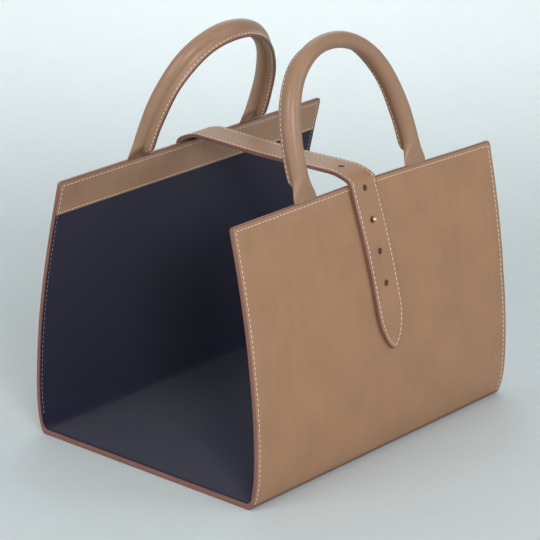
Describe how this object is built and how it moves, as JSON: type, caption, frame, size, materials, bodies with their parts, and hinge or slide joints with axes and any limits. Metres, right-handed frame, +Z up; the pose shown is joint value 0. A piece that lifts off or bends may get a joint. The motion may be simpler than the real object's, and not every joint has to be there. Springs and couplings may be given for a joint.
{
  "type": "knitting bag",
  "caption": "Open-ended leather knitting bag: curved walls on a flat base, cloth lining, rolled handles and a strap that closes over the mouth on a ball stud.",
  "frame": {"origin": "middle of the underside of the base, where the bag rests", "axes": "+X along the bag from one open end to the other, -Y towards the front wall with the stud, +Z up"},
  "size_m": [0.3324, 0.241, 0.3438],
  "materials": {
    "tan_leather": "smooth satin calf leather",
    "painted_edge": "red-brown edge paint, semi-gloss",
    "navy_cloth": "close matt weave",
    "fibre_board": "pressed fibre board, hidden",
    "cotton_cord": "twisted filler cord, hidden",
    "brass": "polished",
    "cream_thread": "waxed linen thread"
  },
  "bodies": {
    "bag": {"front_panel": "tan_leather", "back_panel": "tan_leather", "base_panel": "painted_edge", "base_board": "fibre_board", "front_stiffener": "fibre_board", "back_stiffener": "fibre_board", "front_facing": "tan_leather", "back_facing": "tan_leather", "lining": "navy_cloth", "front_handle_tab_left": "tan_leather", "front_handle_tab_right": "tan_leather", "back_handle_tab_left": "tan_leather", "back_handle_tab_right": "tan_leather", "strap_bridge": "tan_leather", "strap_bridge_backing": "tan_leather", "stud_post": "brass", "stud_backplate": "brass"},
    "front_handle": {"front_handle_leather": "tan_leather", "front_handle_core": "cotton_cord"},
    "back_handle": {"back_handle_leather": "tan_leather", "back_handle_core": "cotton_cord"},
    "strap_end": {"strap_tail": "tan_leather", "strap_tail_backing": "tan_leather"}
  },
  "joints": [
    {"name": "front_handle_tilt", "type": "hinge", "parent": "bag", "child": "front_handle", "pos_m": [0, -0.08696, 0.2264], "axis": [0.9999, -0.0036, -0.0133], "range_deg": [-25, 75], "stiffness_Nm_per_rad": 0.3, "springref_deg": 0.93},
    {"name": "back_handle_tilt", "type": "hinge", "parent": "bag", "child": "back_handle", "pos_m": [0, 0.09089, 0.22542], "axis": [-1, 0, 0], "range_deg": [-17, 84], "stiffness_Nm_per_rad": 0.3, "springref_deg": 1.54},
    {"name": "strap_end_lift", "type": "hinge", "parent": "bag", "child": "strap_end", "pos_m": [0, -0.09537, 0.21465], "axis": [-1, 0, 0], "range_deg": [0, 75]}
  ]
}
